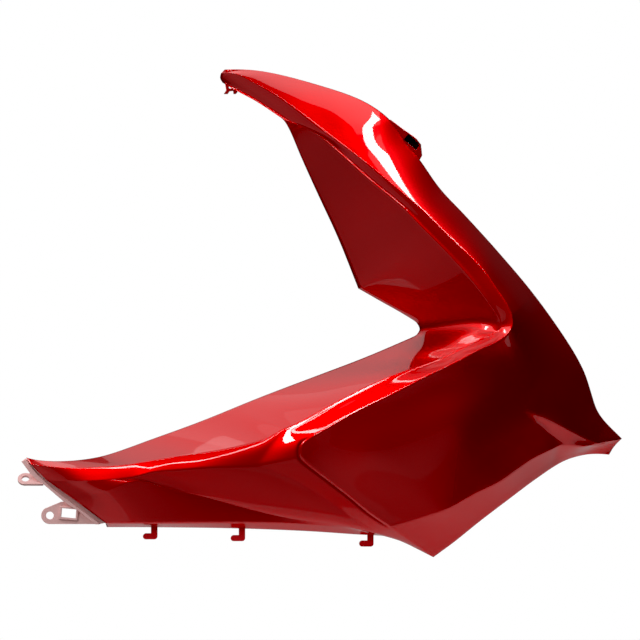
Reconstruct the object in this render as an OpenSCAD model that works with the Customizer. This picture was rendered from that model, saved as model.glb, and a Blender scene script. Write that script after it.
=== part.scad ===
// Right-hand side panel of a scooter: one injection-moulded shell.
// X runs forward, Z up, and the painted face looks towards -Y.
// The origin is the axis of the lower rear screw hole.
// A point of a line is [x, z]; a point of the skin is [x, out, z, wall],
// where out is how far it stands outboard and wall is its thickness along Y.

/* [Wall] */
// Wall of the face and of the edge band, along Y
face_wall = 3.2; // [2.5:0.1:4.5]
// Wall of the shelf, along Y, where the skin lies almost flat
shelf_wall = 5.5; // [4:0.1:8]
// Wall at the front edge, along Y, where the skin turns inboard
edge_wall = 4.5; // [3:0.1:6]

/* [Screw ears] */
// Diameter of the two screw holes
hole_d = 8.6; // [6:0.1:10]
// Thickness of the ears
ear_t = 3; // [2:0.1:5]
// Radius of the upper ear's round end
upper_ear_r = 8.5; // [7:0.1:11]
// Lean of the upper ear about the X axis
upper_ear_lean = 45; // [0:1:50]
// Radius of the lower ear's round end
lower_ear_r = 9.5; // [8:0.1:12]

/* [Window in the lower ear] */
// Width of the window
window_w = 16; // [10:0.5:18]
// Height of the window
window_h = 10; // [6:0.5:12]
// Width of the raised frame round the window
frame_w = 4; // [2:0.5:5]

/* [Hooks] */
// Width of a hook's stem
stem_w = 7; // [5:0.5:9]
// Height of a hook's round foot
foot_h = 6.5; // [4:0.5:8]
// How far the foot reaches back from the stem
foot_reach = 9; // [6:0.5:12]
// Depth of a hook along Y
hook_t = 8; // [5:0.5:12]

/* [Front tab] */
// Length of the slot in the tab
slot_l = 18; // [10:0.5:18]
// Height of the slot in the tab
slot_h = 8; // [4.5:0.5:8]

/* [Mesh] */
// Rows across the face above the step
face_rows = 6; // [3:1:10]
// Rows across the rear wall, the step and the shelf
wall_rows = 6; // [3:1:10]

/* [Hidden] */
$fn = 40;

// Places of the small features, seen from the side
window_at = [21, 2.5];
window_turn = -5;
frame_h = 3.5;
flange_out = 5;
upper_ear_at = [-27, 41];
hook_places = [[119, -13], [216, -15], [358, -21]];
slot_at = [400.5, 412.5];

// The fold beside the nose, seen from the side: its two ends, how much it
// raises the face, and how wide it is
fold_from = [521.5, 118.8];
fold_to = [602.4, 81.4];
fold_rise = 7;
fold_width = 16.5;
// Width gained over the fold's whole length, and reach of the raised part
fold_widen = 31;
fold_fade = 60;

// How many pieces each stretch of the network is cut into
tip_n = 10;
arm_n = 26;
turn_n = 4;
lobe_n = 26;
floor_n = 30;
nib_n = 3;
facet_n = 10;
flank_n = 3;
hem_n = 2;
band_rows = 2;
foot_n = 8;

// Lines of the skin. Each point is [x, z, out].
// Outer edge: over the top of the arm, down the front, round the nose and back
top_line = [[194, 491.5, 34], [212, 493, 32], [248, 488, 27], [301, 474, 20], [348, 458, 15],
    [374, 440, 13]];
front_line = [[374, 440, 13], [391, 415, 14], [408, 394, 16], [431, 361, 19.5],
    [459, 331, 23], [496, 290, 25], [534, 245, 20], [571, 194, 5], [591, 160, -8],
    [600, 134, -19], [608, 112, -29], [635, 84, -44]];
nose_line = [[635, 84, -44], [627, 76, -46], [621, 66, -48]];
keel_line = [[621, 66, -48], [609, 67, -44], [592, 66, -36], [568, 59, -20], [537, 40, 0],
    [508, 19, 12], [475, -6, 14], [448, -28, 10], [424, -46, 4]];

// The crest: the outermost line of the panel, down the arm and round the lobe
crest_line = [[190, 487.5, 33.5], [201, 490.5, 38.5], [217, 482, 43], [243, 468, 50],
    [268, 451, 56], [298, 427, 62], [348, 389, 72], [383, 360, 79], [410, 337, 84.5],
    [437, 310, 90], [459, 289, 94.5], [478, 269, 98], [492, 248, 101], [503, 232, 103],
    [507, 223, 104], [508, 210, 104.5], [501, 199, 104], [491, 192, 103], [474, 185, 101],
    [452, 173, 98], [413, 154, 91.5], [375, 134, 84], [338, 116, 75.5], [304, 96, 67],
    [286, 86, 62], [279, 80, 60], [277, 73, 59], [278, 66, 58], [286, 58, 56],
    [308, 41, 51], [331, 23, 46.5], [354, 4, 42], [376, -11, 38]];

// The rounded end of the tip, from the crest to the shoulder
tip_line = [[190, 487.5, 33.5], [188.3, 482.5, 29], [191.5, 477.5, 24]];

// The brow: where the lobe breaks into the chin, the facet that looks down
brow_line = [[635, 84, -44], [612, 80, -26], [591, 76, -10], [565, 78, 8], [553, 73, 17],
    [530, 62, 31], [497, 39, 45], [469, 26, 50], [438, 9, 50], [415, 1, 46],
    [376, -11, 38]];

// The shoulder: the other side of the band that runs beside the crest
shoulder_line = [[191.5, 477.5, 24], [207, 468, 28], [226, 458, 33], [243, 447, 38],
    [259, 436, 42], [288, 425, 48.5], [306, 412, 53], [335, 386, 60], [355, 368, 65],
    [389, 340, 72.5], [410, 318, 77.5], [432, 296, 82], [452, 274, 86], [469, 254, 89],
    [481, 237, 91], [492, 221, 92.5], [495, 213, 93], [491, 204, 93], [473, 195, 92],
    [453, 186, 89], [431, 174, 85], [371, 153, 75], [318, 127, 63], [277, 104, 53],
    [258, 96, 49]];
nib_line = [[258, 96, 49], [241, 77, 49], [228, 56, 48]];
low_line = [[228, 56, 48], [269, 40, 44], [310, 15, 37], [337, -4, 31], [365, -19, 24],
    [391, -29, 10]];

// The free edge round the notch between the two arms
rear_edge = [[259, 436, 42], [266, 424, 35.5], [276, 400, 27], [294, 360, 18],
    [319, 306, 9], [341, 251, 3]];
foot_edge = [[341, 251, 3], [369, 235, 1], [387, 225, -1], [405, 214, -4]];
notch_turn = [[405, 214, -4], [409, 206, -2], [405, 199, 4]];
floor_edge = [[405, 199, 4], [349, 175, 0], [294, 154, -5], [231, 130, -10], [167, 104, -14],
    [115, 85, -14], [64, 67, -8], [39, 62, 0], [12, 60, 4], [-13, 61, 4], [-26, 64, 2]];
step_line = [[405, 199, 4], [425, 199, 34], [440, 199, 55], [460, 201, 76], [491, 204, 93]];

// Lines of the flank below the shelf, from its front to its rear end
belt_line = [[258, 96, 49], [235, 84, 46], [186, 73, 41], [132, 65, 36], [93, 58, 31],
    [63, 55, 27], [24, 53, 20], [-21, 57, 8]];
facet_top = [[228, 56, 48], [174, 54, 45], [137, 51, 41], [112, 49, 38], [97, 44, 35],
    [60, 40, 30], [28, 39, 22], [-3, 39, 8]];
facet_foot = [[365, -19, 24], [321, -10, 22], [269, -3, 19], [227, 6, 20], [174, 21, 25],
    [132, 31, 31], [97, 40, 35], [60, 26, 28], [28, 17, 8]];
hem_line = [[382, -25, 17], [332, -14, 18], [268, -8, 17], [211, -7, 18], [115, -8, 17],
    [85, -8, 12], [62, -8, 4]];
hem_edge = [[391, -29, 10], [376, -23, 8], [343, -21, 6], [282, -17, 4], [200, -14, 4],
    [115, -13, 2], [63, -13, -2]];

// The face and the rear wall are thin plates sprung through the lines round
// them and through a few pins of their own
face_pins = concat(crest_line, top_line, front_line, brow_line,
    [[455, 105, 85], [520, 145, 66], [350, 70, 70], [560, 120, 32]]);
wall_pins = concat([for (i = [4:17]) shoulder_line[i]], rear_edge, foot_edge);
// How far a plate may leave its pins, which irons ripples out
ease = 0.003;

// Plate through pins: solved once, then read at any point
function kernel(r) = r < 0.0001 ? 0 : r * r * ln(r);
function flat(p) = [p[0], p[1]] / 100;
function largest(m, k) =
    let (col = [for (i = [k:len(m) - 1]) abs(m[i][k])])
    k + search(max(col), col)[0];
function swap(m, a, b) = [for (i = [0:len(m) - 1]) i == a ? m[b] : i == b ? m[a] : m[i]];
function solve(m, k = 0) =
    k == len(m) ? [for (row = m) row[len(m)]] :
    let (s = swap(m, k, largest(m, k)), row = s[k] / s[k][k])
    solve([for (i = [0:len(s) - 1]) i == k ? row : s[i] - s[i][k] * row], k + 1);
function bends(pins, p) = [for (q = pins) kernel(norm(flat(p) - flat(q)))];
function plate(pins) =
    let (last = len(pins) - 1)
    [pins, solve(concat(
        [for (i = [0:last]) concat(bends(pins, pins[i]) + [for (j = [0:last]) i == j ? ease : 0],
            [1, flat(pins[i])[0], flat(pins[i])[1], pins[i][2]])],
        [for (k = [0:2]) concat([for (q = pins) [1, flat(q)[0], flat(q)[1]][k]],
            [0, 0, 0, 0])]))];
function plate_out(pl, p) = concat(bends(pl[0], p), [1, flat(p)[0], flat(p)[1]]) * pl[1];
face_plate = plate(face_pins);
wall_plate = plate(wall_pins);

// Smooth line through points, cut evenly into n pieces between points i and j
function chords(p) = [for (i = 0, s = 0; i < len(p);
    s = s + (i < len(p) - 1 ? norm(p[i + 1] - p[i]) : 0), i = i + 1) s];
function piece(c, s, i = 0) = i >= len(c) - 2 || s <= c[i + 1] ? i : piece(c, s, i + 1);
function slope(p, c, i) =
    let (a = max(i - 1, 0), b = min(i + 1, len(p) - 1))
    (p[b] - p[a]) / (c[b] - c[a]);
function on_line(p, c, s) =
    let (i = piece(c, s), h = c[i + 1] - c[i], t = (s - c[i]) / h)
    p[i] * (1 + 2 * t) * (1 - t) * (1 - t) + p[i + 1] * t * t * (3 - 2 * t)
    + slope(p, c, i) * h * t * (1 - t) * (1 - t) - slope(p, c, i + 1) * h * t * t * (1 - t);
function run(p, n, i = 0, j = -1) =
    let (c = chords(p), s0 = c[i], s1 = c[j < 0 ? len(p) - 1 : j])
    [for (k = [0:n]) on_line(p, c, s0 + (s1 - s0) * k / n)];
function joined(lists) = [for (a = [0:len(lists) - 1], i = [0:len(lists[a]) - 1])
    if (a == 0 || i > 0) lists[a][i]];
function part(a, i, j) = [for (k = [i:j]) a[k]];
function ends(a, first, last) = concat([first], part(a, 1, len(a) - 2), [last]);
function back(a) = [for (i = [len(a) - 1:-1:0]) a[i]];

// Points of a line made into points of the skin
function lift(line, wall) = [for (p = line) [p[0], p[2], p[1], wall]];
function straight(a, b, n) = [for (k = [0:n]) a + (b - a) * k / n];

// Grid between four lines. A larger fade keeps the shape of the two sides
// near them.
function between(top, foot, left, right, i, j, fade) =
    let (n = len(top) - 1, m = len(left) - 1, u = i / n, v = j / m)
    top[i] * (1 - v) + foot[i] * v
    + (left[j] - top[0] * (1 - v) - foot[0] * v) * pow(1 - u, fade)
    + (right[j] - top[n] * (1 - v) - foot[n] * v) * pow(u, fade);
function grid(top, foot, left, right, fade = 1) =
    [for (j = [0:len(left) - 1]) [for (i = [0:len(top) - 1])
        j == 0 ? top[i] : j == len(left) - 1 ? foot[i] :
        i == 0 ? left[j] : i == len(top) - 1 ? right[j] :
        between(top, foot, left, right, i, j, fade)]];
// The same, with the depth read from a plate; what the four lines stand
// off the plate is spread over the grid, so that the seams stay shut
function off_plate(line, pl) = [for (p = line) concat(p, p[1] - plate_out(pl, [p[0], p[2]]))];
function plate_grid(top, foot, left, right, pl) =
    let (g = grid(off_plate(top, pl), off_plate(foot, pl), off_plate(left, pl),
        off_plate(right, pl)), n = len(top) - 1, m = len(left) - 1)
    [for (j = [0:m]) [for (i = [0:n]) let (p = g[j][i])
        j == 0 || j == m || i == 0 || i == n ? [p[0], p[1], p[2], p[3]] :
        [p[0], plate_out(pl, [p[0], p[2]]) + p[4], p[2], p[3]]]];

// Places along the crest where one stretch ends and the next begins
arm_end = tip_n + arm_n;
turn_end = arm_end + turn_n;
lobe_end = turn_end + lobe_n;
side_n = nib_n + facet_n;
crest_n = lobe_end + side_n;
keel_n = flank_n + hem_n;
face_cols = face_rows + turn_n + lobe_n;

// Lines round the face
crest = lift(joined([run(crest_line, tip_n, 0, 5), run(crest_line, arm_n, 5, 14),
    run(crest_line, turn_n, 14, 16), run(crest_line, lobe_n, 16, 25),
    run(crest_line, nib_n, 25, 27), run(crest_line, facet_n, 27, 32)]), face_wall);
keel = lift(run(keel_line, face_cols), edge_wall);
crest_tail = straight(crest[crest_n], keel[face_cols], keel_n);
front = lift(joined([run(top_line, tip_n), run(front_line, arm_n, 0, 6)]), edge_wall);
nose = lift(run(nose_line, keel_n), edge_wall);
front_low = lift(run(front_line, side_n, 6, 11), edge_wall);
tip_side = straight(front[0], crest[0], face_rows);
tip_end = lift(run(tip_line, band_rows), face_wall);
cross_run = straight(front[arm_end], crest[arm_end], face_rows);
cross = [for (k = [0:face_rows]) let (p = cross_run[k])
    k == 0 || k == face_rows ? p : [p[0], plate_out(face_plate, [p[0], p[2]]), p[2], p[3]]];
brow = ends(lift(run(brow_line, face_cols), edge_wall), nose[0], crest[crest_n]);

// Lines of the rear wall, the step and the shelf
shoulder_arm = lift(joined([run(shoulder_line, tip_n, 0, 4), run(shoulder_line, arm_n, 4, 15)]),
    face_wall);
wall_edge = lift(joined([run(rear_edge, arm_n - foot_n), run(foot_edge, foot_n)]), face_wall);
wall_foot = straight(wall_edge[arm_n], shoulder_arm[arm_end], wall_rows);
step_foot = lift(run(step_line, wall_rows), shelf_wall);
notch_round = ends(lift(run(notch_turn, turn_n), edge_wall), wall_edge[arm_n], step_foot[0]);
shoulder_round = ends(lift(run(shoulder_line, turn_n, 15, 17), edge_wall),
    shoulder_arm[arm_end], step_foot[wall_rows]);
shelf_side = ends(lift(run(shoulder_line, lobe_n, 17, 24), edge_wall), step_foot[wall_rows],
    lift(nib_line, edge_wall)[0]);
floor_side = ends(lift(run(floor_edge, lobe_n + floor_n), shelf_wall), step_foot[0],
    lift(floor_edge, shelf_wall)[10]);
belt = lift(run(belt_line, floor_n), edge_wall);
shelf_foot = joined([shelf_side, belt]);

// Lines of the flank
nib = lift(run(nib_line, nib_n), edge_wall);
low = lift(joined([run(low_line, facet_n, 0, 4), run(low_line, keel_n, 4, 5)]), edge_wall);
shoulder = joined([shoulder_arm, shoulder_round, shelf_side, nib, low]);
fold_top = lift(run(facet_top, floor_n), edge_wall);
fold_foot = lift(run(facet_foot, floor_n), edge_wall);
hem_run = lift(run(hem_line, floor_n), edge_wall);
hem_top = ends(hem_run, low[facet_n + flank_n], hem_run[floor_n]);
hem_foot = lift(run(hem_edge, floor_n), edge_wall);
flank_lines = [belt, fold_top, fold_foot, hem_top, hem_foot];
flank_rows = [nib_n, facet_n, flank_n, hem_n];
flank_sides = [nib, part(low, 0, facet_n), part(low, facet_n, facet_n + flank_n),
    part(low, facet_n + flank_n, facet_n + keel_n)];
function rear_end(k) = straight(flank_lines[k][floor_n], flank_lines[k + 1][floor_n],
    flank_rows[k]);
shelf_end = straight(floor_side[lobe_n + floor_n], belt[floor_n], wall_rows);

// Patches of the skin
band = grid(concat(crest, part(crest_tail, 1, keel_n)), shoulder, tip_end,
    straight(crest_tail[keel_n], shoulder[crest_n + keel_n], band_rows));
arm_face = plate_grid(front, part(crest, 0, arm_end), tip_side, cross, face_plate);
lobe_face = plate_grid(concat(cross, part(crest, arm_end + 1, lobe_end)), brow,
    ends(front_low, front[arm_end], nose[0]), part(crest, lobe_end, crest_n), face_plate);
chin = grid(brow, keel, nose, crest_tail);
rear_wall = plate_grid(part(shoulder, tip_n, arm_end), wall_edge,
    straight(shoulder[tip_n], wall_edge[0], wall_rows), back(wall_foot), wall_plate);
// The step from the rear wall to the shelf is a hollow round: it leaves
// the wall level and meets the shelf as steep as the shelf is
step_flat = grid(wall_foot, step_foot, notch_round, shoulder_round);
step = [for (j = [0:turn_n]) [for (i = [0:wall_rows]) let (p = step_flat[j][i], v = j / turn_n)
    i == 0 || i == wall_rows ? p :
    [p[0], wall_foot[i][1] + (step_foot[i][1] - wall_foot[i][1]) * v * v, p[2], p[3]]]];
floor_shelf = grid(floor_side, shelf_foot, step_foot, shelf_end, 6);
flank = [for (k = [0:3])
    grid(flank_lines[k], flank_lines[k + 1], flank_sides[k], rear_end(k))];
patches = concat([band, arm_face, lobe_face, chin, rear_wall, step, floor_shelf], flank);

// Free edge of the whole skin, anticlockwise as seen from outside
rim = joined([back(hem_foot),
    straight(shoulder[crest_n + keel_n], crest_tail[keel_n], band_rows),
    back(keel), back(nose), back(front_low), back(front), tip_side,
    tip_end, part(shoulder, 0, tip_n), wall_edge,
    notch_round, floor_side, shelf_end, rear_end(0), rear_end(1), rear_end(2), rear_end(3)]);

// Fold beside the nose: above it the face stands proud, and the fold itself
// is a facet that looks down. It starts from nothing at fold_from.
function ease_in(t) = let (c = min(max(t, 0), 1)) c * c * (3 - 2 * c);
function fold_w(t) = max(0.1, min(fold_widen * t, fold_width));
function nose_fold(x, z) =
    let (way = fold_to - fold_from, long = norm(way), d = [x, z] - fold_from,
        t = d * way / (long * long), s = (d[0] * way[1] - d[1] * way[0]) / long, w = fold_w(t))
    fold_rise * ease_in(2 * t) * (1 - ease_in(2 * t - 1.7))
    * (s < 0 ? 1 - ease_in(-s / fold_fade) : max(0, 1 - s / w));

// Closed solid: the skin, the same skin one wall further in, and the rim
function outside(p) = let (out = p[1] + nose_fold(p[0], p[2]))
    [round(p[0] * 1000), -round(out * 1000), round(p[2] * 1000)] / 1000;
function inside(p) = outside(p - [0, p[3], 0, 0]);
function turn(a, b) = a[0] * b[2] - a[2] * b[0];
function total(v, i = 0, s = 0) = i == len(v) ? s : total(v, i + 1, s + v[i]);
function winding(g) = total([for (j = [0:len(g) - 2], i = [0:len(g[0]) - 2])
    turn(g[j + 1][i + 1] - g[j][i], g[j + 1][i] - g[j][i + 1])]);
function oriented(g) = winding(g) > 0 ? [for (row = g) back(row)] : g;
function corners(g) = [for (j = [0:len(g) - 2], i = [0:len(g[0]) - 2])
    each [[g[j][i], g[j][i + 1], g[j + 1][i + 1]], [g[j][i], g[j + 1][i + 1], g[j + 1][i]]]];
skin = [for (g = patches) each corners(oriented(g))];
skin_faces = [for (f = skin) [for (p = f) outside(p)]];
liner_faces = [for (f = skin) [inside(f[0]), inside(f[2]), inside(f[1])]];
rim_faces = [for (i = [0:len(rim) - 2])
    let (a = outside(rim[i]), b = outside(rim[i + 1]), c = inside(rim[i + 1]), d = inside(rim[i]))
    each [[a, b, c], [a, c, d]]];
shell_faces = [for (f = concat(skin_faces, liner_faces, rim_faces))
    if (f[0] != f[1] && f[1] != f[2] && f[2] != f[0]) f];
module shell() {
    polyhedron(points = [for (f = shell_faces) each f],
        faces = [for (k = [0:len(shell_faces) - 1]) [3 * k, 3 * k + 1, 3 * k + 2]]);
}

// Plate parallel to the side view, from one depth to a further one
module slab(out, thick) {
    translate([0, -out, 0]) rotate([90, 0, 0]) linear_extrude(thick) children();
}

// Flange behind the rear end, which the next panel covers. A deep groove
// parts it from the shell. A thin floor and a wall under the shell's end
// join the two.
module rear_flange() {
    slab(-ear_t, ear_t + 4.5)
        polygon([[-16.3, 53.7], [-2.4, 39.8], [28.6, 17.8], [50.6, 1.6], [52, 3.6], [30, 19.9],
            [-1, 41.9], [-14.5, 55.5]]);
    slab(-ear_t, ear_t - 1)
        polygon([[-31, 60], [-26.8, 63], [62, -8], [54.6, -9.7], [45.8, -6], [33.7, 3.9],
            [13.5, 17.4], [-6.3, 34.3], [-13.6, 38.7], [-21, 46]]);
    slab(-1.5, flange_out + 1.5)
        polygon([[-31.2, 59.9], [-26.8, 61.6], [-13.6, 45.7], [4, 29.2], [31.5, 8.8],
            [54.6, -7.7], [54.6, -9.7], [50.7, -9.7], [45.8, -6], [33.7, 3.9], [19.4, 12.6],
            [13.5, 17.4], [-6.3, 34.3], [-13.6, 38.7], [-21, 46]]);
}

module lower_ear() {
    slab(-ear_t, ear_t) difference() {
        union() {
            circle(lower_ear_r);
            polygon([[0, lower_ear_r], [9, 12], [14, 19], [50, -9], [0, -lower_ear_r]]);
        }
        translate(window_at) rotate(window_turn)
            square([window_w + 1, window_h + 1], center = true);
    }
    slab(-ear_t, ear_t + frame_h) translate(window_at) rotate(window_turn) difference() {
        square([window_w + frame_w, window_h + frame_w], center = true);
        square([window_w, window_h], center = true);
    }
}

module upper_ear() {
    translate([upper_ear_at[0], 0, upper_ear_at[1]]) rotate([-upper_ear_lean, 0, 0])
        slab(-ear_t, ear_t) {
            circle(upper_ear_r);
            translate([0, -upper_ear_r]) square([20, 2 * upper_ear_r - 3]);
        }
}

module ear_holes() {
    rotate([90, 0, 0]) cylinder(d = hole_d, h = 30, center = true);
    translate([upper_ear_at[0], 0, upper_ear_at[1]]) rotate([90 - upper_ear_lean, 0, 0])
        cylinder(d = hole_d, h = 30, center = true);
}

// Hook that hangs under the hem and reaches back
module hook(at) {
    slab(-5, hook_t) translate(at) {
        translate([-stem_w, -10]) square([stem_w, 18]);
        translate([-stem_w - foot_reach + foot_h / 2, -10 - foot_h / 2])
            square([foot_reach + stem_w - foot_h, foot_h]);
        translate([-stem_w - foot_reach + foot_h / 2, -10]) circle(d = foot_h);
        translate([-foot_h / 2, -10]) circle(d = foot_h);
    }
}

// Tab at the top front corner, with a pocket for the next panel's tongue
module tab_outline() {
    polygon([[360, 440], [377, 437], [389, 428], [401.6, 419.1], [406, 415.5], [410.7, 406],
        [411.5, 397.5], [406, 388], [390, 390]]);
}

module front_tab() {
    slab(2, 2) tab_outline();
    slab(4, 8) difference() {
        tab_outline();
        translate(slot_at) rotate(-41) square([slot_l, slot_h], center = true);
    }
}

// Clip under the tip, with two feet and a small hole
module tip_clip() {
    slab(20, 8) difference() {
        polygon([[194, 477], [195.5, 469], [193, 465], [197, 465], [199, 468], [203, 468.5],
            [203.5, 465], [206, 465], [209, 468.5], [205.5, 471], [207, 474]]);
        translate([200, 472.5]) circle(d = 3.4);
    }
}

module side_panel() {
    color("firebrick") difference() {
        union() {
            shell();
            rear_flange();
            lower_ear();
            upper_ear();
            for (at = hook_places) hook(at);
            front_tab();
            tip_clip();
        }
        ear_holes();
    }
}

side_panel();
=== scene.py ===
# %% [markdown]
# A painted side panel for a scooter
#
# The real object is one thin shell of moulded plastic. It is sprayed with a candy red: a bright
# metallic red below, and a thick clear coat above. It wraps round the leg shield with two arms,
# one up to the dashboard and one back along the floor.
#
# The lesson builds the shell from a few smooth lines that neighbouring patches share, because a
# panel like this is drawn that way too. Then it adds the small moulded features one by one, and
# at the end the paint and the studio.

# %% Set up
import math

import bmesh
import bpy
import numpy as np
from mathutils import Matrix, Vector


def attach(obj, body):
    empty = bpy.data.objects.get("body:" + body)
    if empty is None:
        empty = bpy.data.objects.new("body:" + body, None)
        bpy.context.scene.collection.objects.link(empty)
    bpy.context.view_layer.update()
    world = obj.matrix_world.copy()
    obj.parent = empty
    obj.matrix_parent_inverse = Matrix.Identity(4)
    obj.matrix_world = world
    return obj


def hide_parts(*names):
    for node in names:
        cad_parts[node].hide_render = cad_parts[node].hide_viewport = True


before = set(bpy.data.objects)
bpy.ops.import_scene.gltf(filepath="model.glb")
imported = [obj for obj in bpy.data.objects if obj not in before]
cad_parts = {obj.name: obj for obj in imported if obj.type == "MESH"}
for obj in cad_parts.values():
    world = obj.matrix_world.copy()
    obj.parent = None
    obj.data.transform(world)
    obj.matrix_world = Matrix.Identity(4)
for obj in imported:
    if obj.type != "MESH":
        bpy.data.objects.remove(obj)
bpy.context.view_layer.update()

MM = 0.001

# %% [markdown]
# The lines of the panel
#
# Every crease and every free edge of the real panel is a smooth line in space. Each one is kept
# here as a few points: how far forward, how high, and how far out from the scooter, all in
# millimetres from the lower screw hole. Traced outlines alone would give a flat drawing, so the
# third number matters most: it is what the reflections follow.

# %% Lines of the outer edge
top_line = [(194, 491.5, 34), (212, 493, 32), (248, 488, 27), (301, 474, 20), (348, 458, 15),
            (374, 440, 13)]
front_line = [(374, 440, 13), (391, 415, 14), (408, 394, 16), (431, 361, 19.5), (459, 331, 23),
              (496, 290, 25), (534, 245, 20), (571, 194, 5), (591, 160, -8), (600, 134, -19),
              (608, 112, -29), (635, 84, -44)]
nose_line = [(635, 84, -44), (627, 76, -46), (621, 66, -48)]
keel_line = [(621, 66, -48), (609, 67, -44), (592, 66, -36), (568, 59, -20), (537, 40, 0),
             (508, 19, 12), (475, -6, 14), (448, -28, 10), (424, -46, 4)]
print("outer edge:", len(top_line + front_line + nose_line + keel_line), "points")

# %% Lines that the face ends in
crest_line = [(190, 487.5, 33.5), (201, 490.5, 38.5), (217, 482, 43), (243, 468, 50),
              (268, 451, 56), (298, 427, 62), (348, 389, 72), (383, 360, 79), (410, 337, 84.5),
              (437, 310, 90), (459, 289, 94.5), (478, 269, 98), (492, 248, 101),
              (503, 232, 103), (507, 223, 104), (508, 210, 104.5), (501, 199, 104),
              (491, 192, 103), (474, 185, 101), (452, 173, 98), (413, 154, 91.5),
              (375, 134, 84), (338, 116, 75.5), (304, 96, 67), (286, 86, 62), (279, 80, 60),
              (277, 73, 59), (278, 66, 58), (286, 58, 56), (308, 41, 51), (331, 23, 46.5),
              (354, 4, 42), (376, -11, 38)]
tip_line = [(190, 487.5, 33.5), (188.3, 482.5, 29), (191.5, 477.5, 24)]
brow_line = [(635, 84, -44), (612, 80, -26), (591, 76, -10), (565, 78, 8), (553, 73, 17),
             (530, 62, 31), (497, 39, 45), (469, 26, 50), (438, 9, 50), (415, 1, 46),
             (376, -11, 38)]
print("face:", len(crest_line + tip_line + brow_line), "points")

# %% Lines of the shoulder and the rear wall
shoulder_line = [(191.5, 477.5, 27), (207, 468, 33), (226, 458, 39.5), (243, 447, 43.5),
                 (259, 436, 49), (288, 425, 55), (306, 412, 59), (335, 386, 66.5), (355, 368, 71),
                 (389, 340, 78.5), (410, 318, 83.5), (432, 296, 88), (452, 274, 92),
                 (469, 254, 95.5), (481, 237, 97.5), (492, 221, 97.5), (495, 213, 96),
                 (491, 204, 94), (473, 195, 92), (453, 186, 89), (431, 174, 85),
                 (371, 153, 75), (318, 127, 63), (277, 104, 53), (258, 96, 49)]
nib_line = [(258, 96, 49), (241, 77, 49), (228, 56, 48)]
low_line = [(228, 56, 48), (269, 40, 44), (310, 15, 37), (337, -4, 31), (365, -19, 24),
            (391, -29, 10)]
rear_edge = [(259, 436, 49), (266, 424, 40), (276, 400, 31), (294, 360, 22), (319, 306, 13),
             (341, 251, 6)]
foot_edge = [(341, 251, 6), (369, 235, 7), (387, 225, 8), (405, 214, 8)]
notch_turn = [(405, 214, 8), (409, 206, 8), (405, 199, 9)]
print("shoulder:", len(shoulder_line), "points, rear wall:", len(rear_edge + foot_edge))

# %% Lines of the floor arm
floor_edge = [(405, 199, 9), (349, 175, 0), (294, 154, -5), (231, 130, -10), (167, 104, -14),
              (115, 85, -14), (64, 67, -8), (39, 62, 0), (12, 60, 4), (-13, 61, 4),
              (-26, 64, 2)]
step_line = [(405, 199, 9), (425, 199, 36), (440, 199, 56), (460, 201, 76), (491, 204, 93)]
belt_line = [(258, 96, 49), (235, 84, 46), (186, 73, 41), (132, 65, 36), (93, 58, 31),
             (63, 55, 27), (24, 53, 20), (-21, 57, 8)]
fold_top_line = [(228, 56, 48), (174, 54, 45), (137, 51, 41), (112, 49, 38), (97, 44, 35),
                 (60, 40, 30), (28, 39, 22), (-3, 39, 8)]
fold_foot_line = [(365, -19, 24), (321, -10, 22), (269, -3, 19), (227, 6, 20), (174, 21, 25),
                  (132, 31, 31), (97, 40, 35), (60, 26, 28), (28, 17, 8)]
hem_line = [(382, -25, 17), (332, -14, 18), (268, -8, 17), (211, -7, 18), (115, -8, 20),
            (85, -8, 17), (62, -8, 11)]
hem_edge = [(391, -29, 10), (376, -23, 8), (343, -21, 6), (282, -17, 4), (200, -14, 4),
            (115, -13, 2), (63, -13, -2)]
print("floor edge:", len(floor_edge), "points, hem:", len(hem_line))

# %% [markdown]
# From points to smooth lines
#
# A line has to pass through its points without a kink, or the kink shows as a notch in every
# highlight. A cubic piece between each pair of points does that. The same line can then be cut
# wherever a patch needs a row of vertices, closer together beside a crease.

# %% Cut a line into rows
def cut(points, at, first=0, last=None):
    """Points on a smooth line at the given shares of the way between two of its points."""
    p = np.array(points, float)
    along = np.concatenate([[0], np.cumsum(np.linalg.norm(np.diff(p, axis=0), axis=1))])
    start, stop = along[first], along[len(p) - 1 if last is None else last]
    before = np.maximum(np.arange(len(p)) - 1, 0)
    after = np.minimum(np.arange(len(p)) + 1, len(p) - 1)
    slope = (p[after] - p[before]) / (along[after] - along[before])[:, None]
    s = start + (stop - start) * np.asarray(at)
    i = np.clip(np.searchsorted(along, s, side="left") - 1, 0, len(p) - 2)
    h = along[i + 1] - along[i]
    t = ((s - along[i]) / h)[:, None]
    h = h[:, None]
    return (p[i] * (1 + 2 * t) * (1 - t) ** 2 + p[i + 1] * t * t * (3 - 2 * t)
            + slope[i] * h * t * (1 - t) ** 2 - slope[i + 1] * h * t * t * (1 - t))


def evenly(n):
    """The shares of the way that cut a line into n equal pieces."""
    return np.linspace(0, 1, n + 1)


def joined(*lines):
    """Lines that share their ends, as one line."""
    return np.concatenate([lines[0]] + [line[1:] for line in lines[1:]])


def cut_in_turn(points, stops, rows):
    """A line cut with rows of their own between its points with the numbers in stops."""
    return joined(*(cut(points, at, first, last)
                    for at, first, last in zip(rows, stops, stops[1:])))


print("crest in 12 pieces:", len(cut(crest_line, evenly(12))), "points")

# %% [markdown]
# Rows beside the creases
#
# The panel's creases aren't knife edges: the mould is rounded by a millimetre or two. A
# subdivided surface rounds an edge as far as its next row, so a patch has a row close to a
# sharp crease and wider rows between.

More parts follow.
